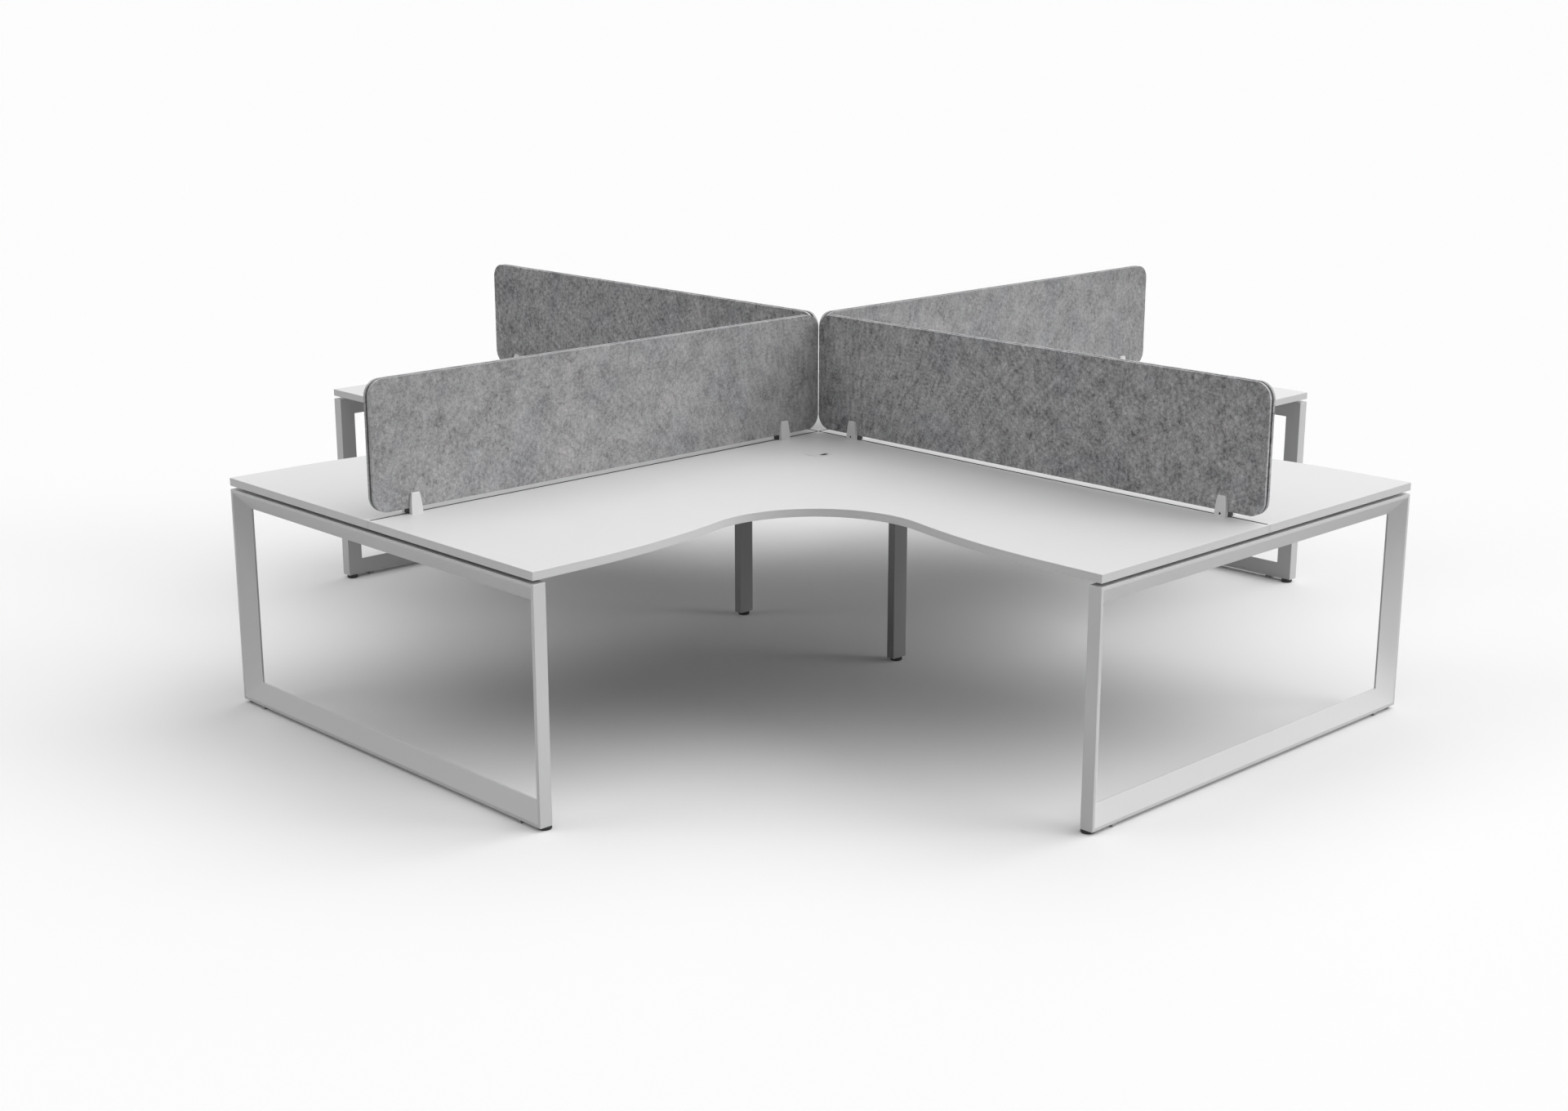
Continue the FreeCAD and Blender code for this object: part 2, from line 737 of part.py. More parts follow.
# Brackets and fasteners
save_group("rail_brackets", rail_brackets())
save("frame_bolts", [turned(piece, turns) for turns in range(len(arms)) for piece in frame_bolts()]
     + [turned(piece, turns) for turns in leg_turns for piece in leg_bolts()])
save_group("beam_screws", beam_screws())
save_group("bracket_screws", bracket_screws())

# Screens and their clips
for turns, arm in enumerate(arms):
    for side in sides:
        neighbour = arms[(turns + side) % len(arms)]
        save("screen_" + arm + "_board_" + neighbour, [turned(screen_board(side), turns)])
    save("screen_" + arm + "_core", [turned(screen_core(), turns)])
halves = [clip_half(along, side) for along in clip_places for side in sides]
save_in_quarters(["clip_halves_" + arm for arm in arms], halves)
save_group("clip_blocks", [clip_block(along) for along in clip_places])
save_group("clip_studs", [clip_stud(along) for along in clip_places])
save_group("clip_screws", [clip_screw(along) for along in clip_places])

# Cable outlets
save_in_quarters(["grommet_ring_" + quarter for quarter in quarters], [grommet_ring()])
save_in_quarters(["grommet_cap_" + quarter for quarter in quarters], [grommet_cap()])
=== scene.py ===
# %% [markdown]
# # Finishing a cluster of four desks
# The construction comes ready from CAD as a set of named solids in one fixed place: boards, tubes, felt
# boards, clips, feet. This notebook gives them what CAD leaves out: edges that catch the light, and a
# finish for every surface. All lengths are metres, and MM turns millimetres into them.

# %% Load the construction
import json
import math

import bmesh
import bpy
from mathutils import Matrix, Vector, noise


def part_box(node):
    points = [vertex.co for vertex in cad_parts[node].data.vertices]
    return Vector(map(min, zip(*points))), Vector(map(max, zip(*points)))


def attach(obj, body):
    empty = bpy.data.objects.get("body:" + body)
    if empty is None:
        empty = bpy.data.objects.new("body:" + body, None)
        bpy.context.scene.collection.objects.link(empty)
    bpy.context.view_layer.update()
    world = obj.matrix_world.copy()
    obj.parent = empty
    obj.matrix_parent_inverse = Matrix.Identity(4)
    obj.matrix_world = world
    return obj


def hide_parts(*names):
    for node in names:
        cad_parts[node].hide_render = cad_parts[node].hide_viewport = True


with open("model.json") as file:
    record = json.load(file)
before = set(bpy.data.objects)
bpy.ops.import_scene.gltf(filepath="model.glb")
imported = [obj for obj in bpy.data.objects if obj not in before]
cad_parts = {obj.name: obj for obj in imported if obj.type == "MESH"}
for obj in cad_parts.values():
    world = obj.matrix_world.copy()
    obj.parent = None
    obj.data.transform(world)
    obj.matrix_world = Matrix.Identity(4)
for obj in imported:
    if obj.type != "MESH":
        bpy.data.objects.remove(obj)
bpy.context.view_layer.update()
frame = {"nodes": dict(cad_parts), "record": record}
MM = 0.001
ARMS = ("east", "north", "west", "south")

# %% [markdown]
# ## The camera
# The place and the tilt of the camera were worked out from straight edges of the desks, whose real sizes
# are known. It stands well above eye height, south-east of the cluster, and looks slightly down with a
# 50 mm lens. It is made first, so that every later step can be judged from the same view.

# %% Camera
CAMERA_PLACE = (5.2285, -5.2138, 2.2732)
CAMERA_TILT = math.radians(75.0)
CAMERA_TURN = math.radians(46.0)
LENS_MM = 50.0
SENSOR_MM = 36.0
FAR_CLIP = 500.0


def make_camera():
    """A camera at the chosen place, linked to the scene."""
    lens = bpy.data.cameras.new("camera")
    lens.lens = LENS_MM
    lens.sensor_width = SENSOR_MM
    lens.clip_end = FAR_CLIP
    camera = bpy.data.objects.new("camera", lens)
    camera.location = CAMERA_PLACE
    camera.rotation_euler = (CAMERA_TILT, 0.0, CAMERA_TURN)
    bpy.context.scene.collection.objects.link(camera)
    return camera


bpy.context.scene.camera = make_camera()
print("camera at", CAMERA_PLACE)

# %% [markdown]
# ## Light
# A white studio lights the desks from wide soft boxes. A sun lamp with a large angle behaves like a soft
# box far away: its light falls off nowhere, and the angle sets how soft the shadows are. A sun of
# strength pi, straight above, shows a level surface in just the colour that it is painted with. The
# shares below are parts of that. The widest box hangs overhead. The others are named as the camera sees
# them. The key stands high on the right, and a weaker box behind the desks, a little to the right. Two
# smaller ones, low on either side, shape the end frames and the shadow on the floor.

# %% Lamps
FULL_SUN = math.pi

# Name, azimuth, elevation and spread in degrees, and share of a full sun.
SOFT_BOXES = (
    ("key_right", 45.0, 45.0, 60.0, 0.34),
    ("overhead", 45.0, 85.0, 100.0, 0.46),
    ("low_right", 35.0, 20.0, 25.0, 0.15),
    ("behind", 100.0, 40.0, 60.0, 0.12),
    ("low_left", 240.0, 32.0, 35.0, 0.12),
)


def soft_box(name, azimuth, elevation, spread, share):
    """A wide sun lamp that shines from this azimuth (0 is +X, 90 is +Y) and elevation."""
    data = bpy.data.lights.new(name, "SUN")
    data.energy = FULL_SUN * share
    data.angle = math.radians(spread)
    lamp = bpy.data.objects.new(name, data)
    turn = math.radians(azimuth)
    rise = math.radians(elevation)
    level = math.cos(rise)
    towards = Vector((math.cos(turn) * level, math.sin(turn) * level, math.sin(rise)))
    lamp.rotation_mode = "QUATERNION"
    lamp.rotation_quaternion = towards.to_track_quat("Z", "Y")
    bpy.context.scene.collection.objects.link(lamp)
    return lamp


for box in SOFT_BOXES:
    print("lamp", soft_box(*box).name)

# %% [markdown]
# ## Tools for shader nodes
# A material is a small graph of nodes, and sums of nodes are long to write one link at a time. These
# helpers take numbers and sockets alike, so that the steps below read like plain arithmetic. Every
# constant is set on its socket, where the export can find it.

# %% Helpers for numbers
def add_node(tree, kind, **settings):
    """Adds a node of this kind and sets its properties."""
    node = tree.nodes.new(kind)
    for key, value in settings.items():
        setattr(node, key, value)
    return node


def feed(tree, value, socket):
    """Gives a socket its value: a link where the value is a socket, else a constant."""
    if isinstance(value, bpy.types.NodeSocket):
        tree.links.new(value, socket)
    else:
        socket.default_value = value


def math_node(tree, operation, first, second):
    """A Math node whose two inputs are numbers or sockets."""
    node = add_node(tree, "ShaderNodeMath", operation=operation)
    feed(tree, first, node.inputs[0])
    feed(tree, second, node.inputs[1])
    return node.outputs["Value"]


def added(tree, total, *others):
    """The sum of several numbers or sockets."""
    for other in others:
        total = math_node(tree, "ADD", total, other)
    return total


def absolute(tree, value):
    """A value without its sign."""
    return math_node(tree, "ABSOLUTE", value, 0.0)


print("helpers for numbers ready")

# %% Helpers for colours
# A Mix node has a pair of inputs for each kind of data. These are the places of its colour sockets.
COLOUR_A = 6
COLOUR_B = 7
COLOUR_RESULT = 2


def mixed(tree, share, first, second):
    """A colour between two, by a share from 0 to 1. Each colour is a value or a socket."""
    node = add_node(tree, "ShaderNodeMix", data_type="RGBA")
    feed(tree, share, node.inputs["Factor"])
    feed(tree, first, node.inputs[COLOUR_A])
    feed(tree, second, node.inputs[COLOUR_B])
    return node.outputs[COLOUR_RESULT]


def scaled_colour(tree, colour, tone):
    """A colour times a tone, where 1 leaves it as it is."""
    node = add_node(tree, "ShaderNodeVectorMath", operation="SCALE")
    feed(tree, colour, node.inputs["Vector"])
    feed(tree, tone, node.inputs["Scale"])
    return node.outputs["Vector"]


print("helpers for colours ready")

# %% [markdown]
# ## Background
# The background is plain white. The world is white only for rays that come straight from the camera or
# by a mirror-like reflection or through glass, and is a dim fill light for all the others. So it looks
# white, also in reflections, and doesn't flood the desks with light.

# %% World
WHITE = (1.0, 1.0, 1.0, 1.0)
WHITE_STRENGTH = 1.0
FILL_STRENGTH = 0.07


def background_rays(tree):
    """1 on rays that should see the white background, 0 on rays that only carry light."""
    path = add_node(tree, "ShaderNodeLightPath")
    seen = math_node(tree, "MAXIMUM", path.outputs["Is Camera Ray"], path.outputs["Is Glossy Ray"])
    return math_node(tree, "MAXIMUM", seen, path.outputs["Is Transmission Ray"])


def studio_world():
    """White where the background is seen, a dim fill light everywhere else."""
    world = bpy.data.worlds.new("studio")
    world.use_nodes = True
    tree = world.node_tree
    fill = tree.nodes["Background"]
    white = add_node(tree, "ShaderNodeBackground")
    for node, strength in ((fill, FILL_STRENGTH), (white, WHITE_STRENGTH)):
        node.inputs["Color"].default_value = WHITE
        node.inputs["Strength"].default_value = strength
    either = add_node(tree, "ShaderNodeMixShader")
    tree.links.new(background_rays(tree), either.inputs["Fac"])
    tree.links.new(fill.outputs["Background"], either.inputs[1])
    tree.links.new(white.outputs["Background"], either.inputs[2])
    tree.links.new(either.outputs["Shader"], tree.nodes["World Output"].inputs["Surface"])
    return world


bpy.context.scene.world = studio_world()
print("fill light", FILL_STRENGTH)

# %% [markdown]
# ## Floor
# The floor is a pale matt disc, so wide that its rim melts into the horizon, and it keeps the shadow of
# the desks. The rays that only carry light find it grey, so that it doesn't light up the space under the
# desks too much. Where it is seen it glows a little, and so it runs into the white without an edge.

# %% Floor
FLOOR_RADIUS = 200.0
FLOOR_SEGMENTS = 96
FLOOR_BOUNCE = (0.46, 0.46, 0.46, 1.0)
FLOOR_GLOW = 0.02


def floor_material():
    """Pale matt floor that glows faintly where it is seen."""
    material = bpy.data.materials.new("floor")
    material.use_nodes = True
    tree = material.node_tree
    tree.nodes.remove(tree.nodes["Principled BSDF"])
    seen = background_rays(tree)
    matt = add_node(tree, "ShaderNodeBsdfDiffuse")
    feed(tree, mixed(tree, seen, FLOOR_BOUNCE, WHITE), matt.inputs["Color"])
    glow = add_node(tree, "ShaderNodeEmission")
    feed(tree, math_node(tree, "MULTIPLY", seen, FLOOR_GLOW), glow.inputs["Strength"])
    both = add_node(tree, "ShaderNodeAddShader")
    tree.links.new(matt.outputs["BSDF"], both.inputs[0])
    tree.links.new(glow.outputs["Emission"], both.inputs[1])
    tree.links.new(both.outputs["Shader"], tree.nodes["Material Output"].inputs["Surface"])
    return material


def floor_disc():
    """A flat disc under the feet, marked as part of the stage."""
    shape = bmesh.new()
    bmesh.ops.create_circle(shape, cap_ends=True, segments=FLOOR_SEGMENTS, radius=FLOOR_RADIUS)
    mesh = bpy.data.meshes.new("floor")
    shape.to_mesh(mesh)
    shape.free()
    mesh.materials.append(floor_material())
    floor = bpy.data.objects.new("floor", mesh)
    bpy.context.scene.collection.objects.link(floor)
    return floor


print("floor", floor_disc().name, "radius", FLOOR_RADIUS)

# %% [markdown]
# ## One fine grain for many finishes
# Laminate, powder coat and moulded plastic are never one flat colour. Each has a fine grain that breaks
# up the gloss, and slow clouds in tone and gloss that the eye reads as a real surface. One node group
# makes both, from two noises, and each finish sets its own amounts. It puts out a colour, a roughness
# and a height for a Bump node.

# %% Node group: fine grain
NOISE_MIDDLE = 0.5
PLAIN_ROUGHNESS = 0.5
CLOUD_DETAIL = 3.0
GRAIN_DETAIL = 2.0
COLOUR_SOCKET = "NodeSocketColor"
NUMBER_SOCKET = "NodeSocketFloat"


def new_group(name, inputs, outputs):
    """A shader node group with named sockets, and its input and output nodes."""
    group = bpy.data.node_groups.new(name, "ShaderNodeTree")
    for label, kind in inputs:
        group.interface.new_socket(name=label, in_out="INPUT", socket_type=kind)
    for label, kind in outputs:
        group.interface.new_socket(name=label, in_out="OUTPUT", socket_type=kind)
    return group, add_node(group, "NodeGroupInput"), add_node(group, "NodeGroupOutput")


def noise_node(tree, vector, scale, detail, roughness=PLAIN_ROUGHNESS):
    """A Noise Texture whose scale is a number or a socket."""
    node = add_node(tree, "ShaderNodeTexNoise")
    node.inputs["Detail"].default_value = detail
    node.inputs["Roughness"].default_value = roughness
    feed(tree, vector, node.inputs["Vector"])
    feed(tree, scale, node.inputs["Scale"])
    return node.outputs["Fac"]


def around_zero(tree, value, amount):
    """The noise value moved to lie about zero, times an amount."""
    return math_node(tree, "MULTIPLY", math_node(tree, "SUBTRACT", value, NOISE_MIDDLE), amount)


def make_grain_group():
    """Clouds and grain in colour, roughness and height."""
    numbers = ("Cloud Scale", "Cloud Amount", "Grain Scale", "Grain Amount",
               "Roughness", "Roughness Spread")
    inputs = [("Colour", COLOUR_SOCKET)] + [(label, NUMBER_SOCKET) for label in numbers]
    outputs = [("Colour", COLOUR_SOCKET), ("Roughness", NUMBER_SOCKET), ("Height", NUMBER_SOCKET)]
    tree, given, made = new_group("fine_grain", inputs, outputs)
    place = add_node(tree, "ShaderNodeTexCoord").outputs["Object"]
    clouds = noise_node(tree, place, given.outputs["Cloud Scale"], CLOUD_DETAIL)
    grain = noise_node(tree, place, given.outputs["Grain Scale"], GRAIN_DETAIL)
    cloudy = around_zero(tree, clouds, given.outputs["Cloud Amount"])
    grainy = around_zero(tree, grain, given.outputs["Grain Amount"])
    gloss = around_zero(tree, clouds, given.outputs["Roughness Spread"])
    tone = added(tree, cloudy, grainy, 1.0)
    feed(tree, scaled_colour(tree, given.outputs["Colour"], tone), made.inputs["Colour"])
    feed(tree, added(tree, given.outputs["Roughness"], gloss), made.inputs["Roughness"])
    feed(tree, grain, made.inputs["Height"])
    return tree


GRAIN = make_grain_group()
print("group", GRAIN.name)

# %% [markdown]
# ## One recipe for hard surfaces
# All hard surfaces of the desks are made by one recipe: a Principled shader whose colour and roughness
# come from the fine grain, and a Bump node that gives the grain its depth. A finish is then one call
# with its own numbers, and a change to the recipe reaches every finish.

# %% Recipe for a grained finish
def bumped(tree, shader, height, depth):
    """Lets a height drive the shader's normal through a Bump node."""
    bump = add_node(tree, "ShaderNodeBump")
    bump.inputs["Strength"].default_value = 1.0
    bump.inputs["Distance"].default_value = depth
    feed(tree, height, bump.inputs["Height"])
    feed(tree, bump.outputs["Normal"], shader.inputs["Normal"])


def new_finish(name):
    """A node material, its tree and its Principled shader."""
    material = bpy.data.materials.new(name)
    material.use_nodes = True
    tree = material.node_tree
    return material, tree, tree.nodes["Principled BSDF"]


def grained_finish(name, colour, clouds, grain, rough, depth, metallic=0.0):
    """A hard surface: clouds and grain are (size, amount), rough is (value, spread)."""
    material, tree, shader = new_finish(name)
    group = add_node(tree, "ShaderNodeGroup", node_tree=GRAIN)
    group.inputs["Colour"].default_value = (*colour, 1.0)
    group.inputs["Cloud Scale"].default_value = 1.0 / clouds[0]
    group.inputs["Cloud Amount"].default_value = clouds[1]
    group.inputs["Grain Scale"].default_value = 1.0 / grain[0]
    group.inputs["Grain Amount"].default_value = grain[1]
    group.inputs["Roughness"].default_value = rough[0]
    group.inputs["Roughness Spread"].default_value = rough[1]
    feed(tree, group.outputs["Colour"], shader.inputs["Base Color"])
    feed(tree, group.outputs["Roughness"], shader.inputs["Roughness"])
    shader.inputs["Metallic"].default_value = metallic
    bumped(tree, shader, group.outputs["Height"], depth)
    return material


print("recipe ready")

# %% [markdown]
# ## The eleven hard finishes
# The laminate of the worktops has a matt pebbled press texture, the edging strip is a little smoother,
# and the powder coat of the steel has the long shallow ripple called orange peel. The moulded plastics
# differ in gloss. The blackened and the zinc plated screws are the same recipe with finer clouds, and
# the zinc is the one finish that is bare metal. The blackened screws are near black, partly their own
# colour, partly painted shade for the holes in the clips that they sit in. The sizes are those of the
# real surfaces: clouds a hand or a finger wide, grain of a millimetre or two, and a depth of some
# hundredths of a millimetre.

# %% Finishes made with the grain
PALE_WHITE = (0.79, 0.79, 0.79)

FINISHES = {
    "worktop": grained_finish(
        "white_laminate", (0.77, 0.77, 0.77), clouds=(140 * MM, 0.02), grain=(1.6 * MM, 0.03),
        rough=(0.50, 0.08), depth=0.06 * MM),
    "edging": grained_finish(
        "white_edging_strip", PALE_WHITE, clouds=(90 * MM, 0.02), grain=(1.2 * MM, 0.02),
        rough=(0.42, 0.08), depth=0.03 * MM),
    "frame_paint": grained_finish(
        "white_powder_coat", PALE_WHITE, clouds=(110 * MM, 0.02), grain=(2.2 * MM, 0.02),
        rough=(0.34, 0.08), depth=0.08 * MM),
    # Partly a grey coat, partly painted shade: the underframe is darker than the white of the end
    # frames, so that the legs and beams under the desks look shaded.
    "underframe_paint": grained_finish(
        "grey_coat_with_painted_shade", (0.42, 0.42, 0.42), clouds=(110 * MM, 0.03), grain=(2.2 * MM, 0.02),
        rough=(0.50, 0.10), depth=0.08 * MM),
    "screen_core": grained_finish(
        "dark_core_board", (0.05, 0.05, 0.055), clouds=(30 * MM, 0.20), grain=(1.0 * MM, 0.30),
        rough=(0.85, 0.10), depth=0.10 * MM),
    "white_plastic": grained_finish(
        "white_moulded_plastic", PALE_WHITE, clouds=(30 * MM, 0.02), grain=(0.9 * MM, 0.02),
        rough=(0.40, 0.08), depth=0.02 * MM),
    "black_plastic": grained_finish(
        "black_moulded_plastic", (0.016, 0.016, 0.018), clouds=(20 * MM, 0.20), grain=(0.8 * MM, 0.20),
        rough=(0.48, 0.12), depth=0.03 * MM),
    "grey_plastic": grained_finish(
        "grey_moulded_plastic", (0.50, 0.50, 0.50), clouds=(20 * MM, 0.10), grain=(1.0 * MM, 0.15),
        rough=(0.60, 0.10), depth=0.04 * MM),
    "grommet_plastic": grained_finish(
        "white_outlet_plastic", PALE_WHITE, clouds=(30 * MM, 0.02), grain=(1.1 * MM, 0.02),
        rough=(0.36, 0.06), depth=0.02 * MM),
    # Partly black steel, partly painted shade: on the clips the near black screws also stand for the
    # shade of the holes they sit in.
    "black_steel": grained_finish(
        "blackened_steel_and_hole_shade", (0.02, 0.02, 0.02), clouds=(6 * MM, 0.20), grain=(0.7 * MM, 0.10),
        rough=(0.45, 0.10), depth=0.02 * MM),
    "zinc_steel": grained_finish(
        "zinc_plated_steel", (0.62, 0.63, 0.64), clouds=(6 * MM, 0.16), grain=(0.7 * MM, 0.10),
        rough=(0.32, 0.16), depth=0.02 * MM, metallic=1.0),
}
print("finishes", sorted(FINISHES))

# %% [markdown]
# ## Painted shade on parts of a piece
# Three places near the worktops are painted darker than the rest, as painted shade. Seen from a step
# away, the open joint between two worktops is one crisp dark line, so the strips that face each other
# inside it are painted dark grey, as painted shade. The underside of each board is grey: partly the
# plain backing sheet that keeps a laminated board from warping, partly painted shade, made dark so that
# it keeps the floor, the legs and the gap over the top rails dark. And the cable outlet is painted dark
# inside its slot, as painted shade where no light gets in. Each of these belongs to a larger piece, so
# the material finds it by its place, which is measured on the construction.

# %% Painted shade in joints, undersides and slots
# The dark grey of the joints and of the slot is painted shade. The grey of the undersides is partly a
# backing sheet, partly painted shade.
STRIP_KEPT = 1.6 * MM           # part of the strip, from the board outwards, that stays white
BACKING_AND_SHADE_THICKNESS = 0.3 * MM
SLOT_EDGE = 0.1 * MM            # underside of the cap to the top of the dark
PAINTED_SHADE_GREY = (0.03, 0.03, 0.03, 1.0)
BACKING_AND_SHADE_GREY = (0.22, 0.22, 0.22, 1.0)

board_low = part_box("worktop_north_east")[0]
cap_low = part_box("grommet_cap_north_east")[0]
joint_shade_half = board_low.x - STRIP_KEPT
backing_and_shade_top = board_low.z + BACKING_AND_SHADE_THICKNESS
slot_shade_top = cap_low.z - SLOT_EDGE


def object_place(tree):
    """The X, Y and Z sockets of the place on the object."""
    place = add_node(tree, "ShaderNodeSeparateXYZ")
    feed(tree, add_node(tree, "ShaderNodeTexCoord").outputs["Object"], place.inputs["Vector"])
    return place.outputs["X"], place.outputs["Y"], place.outputs["Z"]


def recolour(material, mask, colour):
    """Lays a colour over a finish where the mask is 1."""
    tree = material.node_tree
    shader = tree.nodes["Principled BSDF"]
    painted = shader.inputs["Base Color"].links[0].from_socket
    feed(tree, mixed(tree, mask, painted, colour), shader.inputs["Base Color"])


def below(material, height, colour):
    """Recolours a finish below a height."""
    tree = material.node_tree
    recolour(material, math_node(tree, "LESS_THAN", object_place(tree)[2], height), colour)


def shade_in_joints(material, half, colour):
    """Paints shade onto a finish near either seam line."""
    tree = material.node_tree
    x, y = object_place(tree)[:2]
    nearest = math_node(tree, "MINIMUM", absolute(tree, x), absolute(tree, y))
    recolour(material, math_node(tree, "LESS_THAN", nearest, half), colour)


# Painted shade: the strips inside the open joints are painted dark grey.
shade_in_joints(FINISHES["edging"], joint_shade_half, PAINTED_SHADE_GREY)
# Partly a backing sheet, partly painted shade: the underside of each board is dark grey, so that the
# shade under the desks stays deep.
below(FINISHES["worktop"], backing_and_shade_top, BACKING_AND_SHADE_GREY)
# Painted shade: the outlet is painted dark inside its slot.
below(FINISHES["grommet_plastic"], slot_shade_top, PAINTED_SHADE_GREY)
print("joint half width", joint_shade_half, "backing below", backing_and_shade_top, "slot dark below", slot_shade_top)

# %% [markdown]
# ## Patterns of pressed felt
# The screens are boards of pressed felt made from grey fibres of several shades. From a step away the
# mix reads as a mottled grey: small dark and light tufts drawn a little upwards by the carding, and slow
# cool and warm patches where one shade wins. A few dark fibres lie in curls. One noise makes each of
# these patterns, from the slow patches down to single fibres, and the curls follow the middle contour
# of one more noise.

# %% Helpers for the felt's patterns
CARDING_SHARE = 0.92
CURL_SCALE = 11.0
CURL_DETAIL = 2.0
CURL_WIDTH = 0.022

# Patterns per metre, detail and roughness of each noise.
FELT_NOISES = {
    "patches": (6.0, 2.0, 0.5),
    "clumps": (13.0, 2.0, 0.5),
    "tufts": (38.0, 5.0, 0.85),
    "flecks": (75.0, 1.0, 0.6),
    "specks": (185.0, 2.0, 0.7),
    "fibres": (420.0, 2.0, 0.6),
}


def stretched(tree, height_share):
    """Object coordinates drawn out upwards: a share under 1 makes patterns taller than wide."""
    mapping = add_node(tree, "ShaderNodeMapping")
    mapping.inputs["Scale"].default_value = (1.0, 1.0, height_share)
    feed(tree, add_node(tree, "ShaderNodeTexCoord").outputs["Object"], mapping.inputs["Vector"])
    return mapping.outputs["Vector"]


def smooth_step(tree, value, span, results):
    """The first result up to the span, the second one beyond it, and a smooth change within."""
    node = add_node(tree, "ShaderNodeMapRange", interpolation_type="SMOOTHSTEP")
    for label, number in zip(("From Min", "From Max", "To Min", "To Max"), (*span, *results)):
        node.inputs[label].default_value = number
    feed(tree, value, node.inputs["Value"])
    return node.outputs["Result"]


def curls(tree, vector):
    """1 along thin curling lines, 0 elsewhere: the middle contour of a noise."""
    line = noise_node(tree, vector, CURL_SCALE, CURL_DETAIL)
    distance = absolute(tree, math_node(tree, "SUBTRACT", line, NOISE_MIDDLE))
    return smooth_step(tree, distance, (0.0, CURL_WIDTH), (1.0, 0.0))


print("felt noises", sorted(FELT_NOISES))

# %% [markdown]
# ## Two sheets of felt and their cut rims
# The two screens along each seam are cut from one sheet, and the sheet of the east and west screens is
# mixed more coarsely. These two lie further out along X than along Y, which tells the sheets apart. The
# cut rims are made paler than the faces by a gain on the tone. The normal tells a rim from a face: on a
# face it points straight across the board.

# %% Helpers for sheets and rims
RIM_SPAN = (0.3, 0.8)


def second_sheet(tree):
    """1 on the screens along the X axis, 0 on those along the Y axis."""
    x, y = object_place(tree)[:2]
    return math_node(tree, "GREATER_THAN", absolute(tree, x), absolute(tree, y))


def by_sheet(tree, sheet, gains):
    """The first gain on the first sheet and the second gain on the second."""
    return added(tree, math_node(tree, "MULTIPLY", sheet, gains[1] - gains[0]), gains[0])


def cut_rim(tree, sheet):
    """1 on the rims of the boards, 0 on their faces."""
    normal = add_node(tree, "ShaderNodeSeparateXYZ")
    feed(tree, add_node(tree, "ShaderNodeTexCoord").outputs["Normal"], normal.inputs["Vector"])
    first_sheet = math_node(tree, "SUBTRACT", 1.0, sheet)
    across_y = math_node(tree, "MULTIPLY", absolute(tree, normal.outputs["Y"]), sheet)
    across_x = math_node(tree, "MULTIPLY", absolute(tree, normal.outputs["X"]), first_sheet)
    return smooth_step(tree, added(tree, across_y, across_x), RIM_SPAN, (1.0, 0.0))


print("rim span", RIM_SPAN)

# %% [markdown]
# ## Light and dark in the felt
# Every pattern adds to the tone with its own weight. The fine and the coarse ones also have a gain for
# each sheet, the slow ones are the same on both. The paler rims come on top, and the curls are taken
# away, but only where the patches are light, because there they show.

# %% Tone of the felt
FINE_WEIGHTS = {"fibres": 0.50, "specks": 1.40}
COARSE_WEIGHTS = {"tufts": 1.55, "flecks": 0.75}
SLOW_WEIGHTS = {"clumps": 0.60, "patches": 0.35}
FINE_GAINS = (0.75, 0.90)
COARSE_GAINS = (0.88, 1.50)
CURL_SPAN = (0.50, 0.60)
CURL_DARKNESS = 0.22
RIM_GAIN = 0.45


def weighted(tree, noises, weights):
    """The sum of some patterns about zero, each with its weight."""
    parts = [around_zero(tree, noises[name], weight) for name, weight in weights.items()]
    return added(tree, *parts)


def felt_tone(tree, noises, drawn_up):
    """Light and dark of the felt about 1."""
    sheet = second_sheet(tree)
    fine = math_node(tree, "MULTIPLY", weighted(tree, noises, FINE_WEIGHTS),
                     by_sheet(tree, sheet, FINE_GAINS))
    coarse = math_node(tree, "MULTIPLY", weighted(tree, noises, COARSE_WEIGHTS),
                       by_sheet(tree, sheet, COARSE_GAINS))
    slow = weighted(tree, noises, SLOW_WEIGHTS)
    rim = math_node(tree, "MULTIPLY", cut_rim(tree, sheet), RIM_GAIN)
    some = smooth_step(tree, noises["patches"], CURL_SPAN, (0.0, CURL_DARKNESS))
    dark_curls = math_node(tree, "MULTIPLY", curls(tree, drawn_up), some)
    return math_node(tree, "SUBTRACT", added(tree, fine, coarse, slow, rim, 1.0), dark_curls)


print("patterns in the tone", [*FINE_WEIGHTS, *COARSE_WEIGHTS, *SLOW_WEIGHTS])

# %% [markdown]
# ## The felt finish
# The colour starts from the mean grey. Warm and cool greys are mixed in where the slow patches run high
# and low, and the tone makes it lighter or darker. The surface is rough, with a touch of sheen from the
# loose fibres, and the fibres and tufts together raise the bump.

# %% Felt finish
FELT_GREY = (0.379, 0.38, 0.385, 1.0)
FELT_WARM = (0.387, 0.379, 0.381, 1.0)
FELT_COOL = (0.371, 0.373, 0.384, 1.0)
WARM_SPAN = (0.48, 0.66)
COOL_SPAN = (0.34, 0.50)
FELT_ROUGHNESS = 0.95
FELT_SHEEN = 0.05
FELT_SPECULAR = 0.2
FELT_DEPTH = 0.6 * MM


